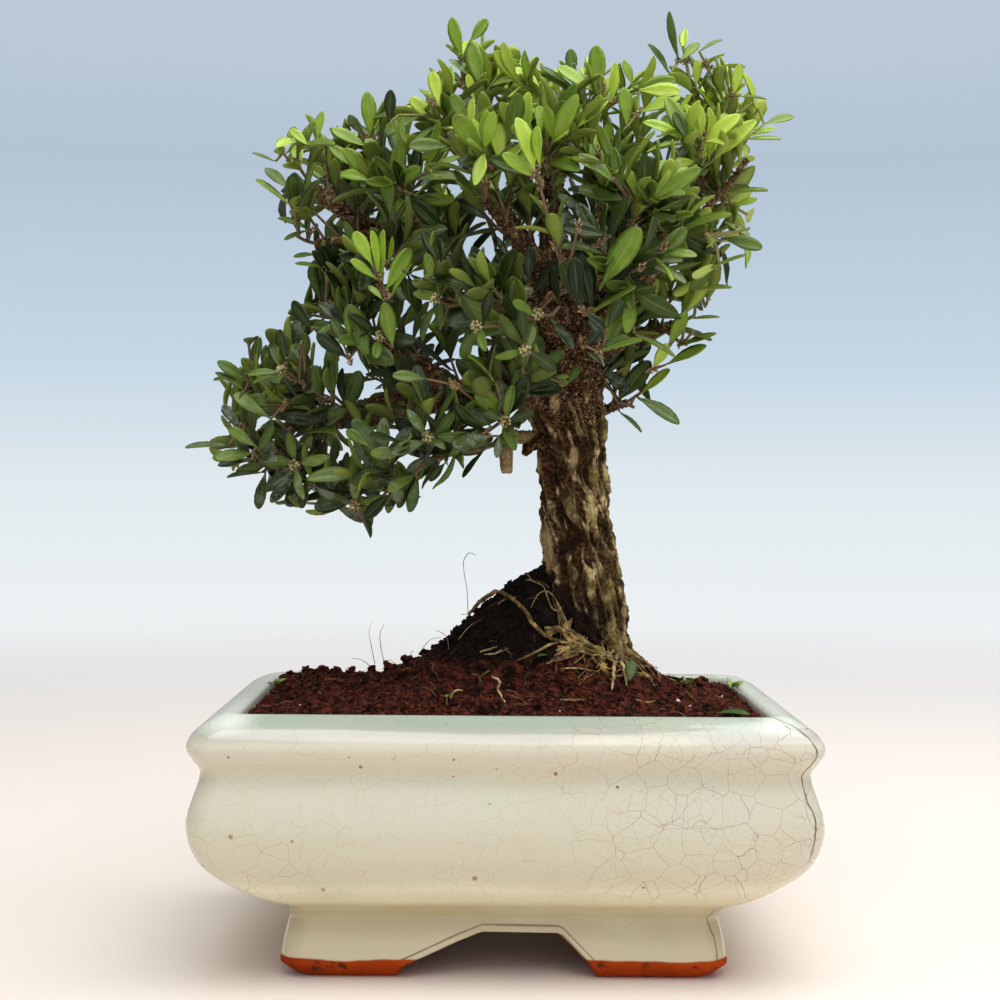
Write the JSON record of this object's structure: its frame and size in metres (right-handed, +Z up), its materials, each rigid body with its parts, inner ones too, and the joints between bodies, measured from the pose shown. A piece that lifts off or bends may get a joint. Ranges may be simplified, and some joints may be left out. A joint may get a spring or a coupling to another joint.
{
  "type": "harland boxwood bonsai in a pot",
  "caption": "Small evergreen boxwood tree with a corky ridged trunk and leafy pads, rooted in a soil mound in a rectangular glazed pot on cut feet.",
  "frame": {"origin": "on the plane that the pot stands on, under the middle of the whole plant's bounding box", "axes": "+Z up, +Y to the back of the pot, +X to the right as the front is looked at"},
  "size_m": [0.1846, 0.1502, 0.2869],
  "materials": {
    "glaze": "glossy pale celadon glaze with fine crackle",
    "soil": "moist, dark reddish-brown, crumbly",
    "bark": "rough, corky ridges",
    "leaf_dark": "waxy, glossy dark green",
    "leaf_new": "waxy, glossy fresh green",
    "screen": "dull black"
  },
  "bodies": {
    "root": {"drain_screen_left": "screen", "drain_screen_right": "screen", "pot": "glaze", "pot_foot": "glaze", "soil": "soil", "spray_back_left_1": "leaf_new", "spray_back_left_2": "leaf_dark", "spray_back_low_1": "leaf_dark", "spray_back_right_1": "leaf_new", "spray_back_right_2": "leaf_dark", "spray_back_top_1": "leaf_new", "spray_front_centre_1": "leaf_dark", "spray_front_centre_2": "leaf_dark", "spray_front_centre_3": "leaf_dark", "spray_front_low_1": "leaf_dark", "spray_front_right_1": "leaf_dark", "spray_front_right_2": "leaf_dark", "spray_front_right_3": "leaf_dark", "spray_front_upper_1": "leaf_new", "spray_leader_1": "leaf_new", "spray_low_left_1": "leaf_dark", "spray_low_left_2": "leaf_dark", "spray_low_left_3": "leaf_dark", "spray_low_left_4": "leaf_dark", "spray_low_left_5": "leaf_dark", "spray_low_left_back_1": "leaf_dark", "spray_low_left_back_2": "leaf_dark", "spray_low_left_front_1": "leaf_dark", "spray_low_left_front_2": "leaf_dark", "spray_low_left_front_3": "leaf_dark", "spray_low_left_up_1": "leaf_dark", "spray_low_left_up_2": "leaf_dark", "spray_right_long_1": "leaf_new", "spray_right_long_2": "leaf_dark", "spray_right_long_3": "leaf_dark", "spray_right_low_1": "leaf_dark", "spray_right_thin_1": "leaf_dark", "spray_right_thin_2": "leaf_dark", "spray_right_up_1": "leaf_new", "spray_right_up_2": "leaf_new", "spray_right_up_3": "leaf_new", "spray_right_up_4": "leaf_new", "spray_top_centre_1": "leaf_new", "spray_top_centre_2": "leaf_new", "spray_top_centre_3": "leaf_new", "spray_top_left_1": "leaf_new", "spray_top_left_2": "leaf_new", "spray_top_left_3": "leaf_new", "spray_upper_left_1": "leaf_new", "spray_upper_left_2": "leaf_new", "spray_upper_left_3": "leaf_new", "spray_upper_left_4": "leaf_dark", "spray_upper_left_side_1": "leaf_dark", "spray_upper_left_side_2": "leaf_dark", "spray_upper_left_top_1": "leaf_new", "spray_upper_left_top_2": "leaf_new", "tree_wood": "bark"}
  },
  "joints": []
}
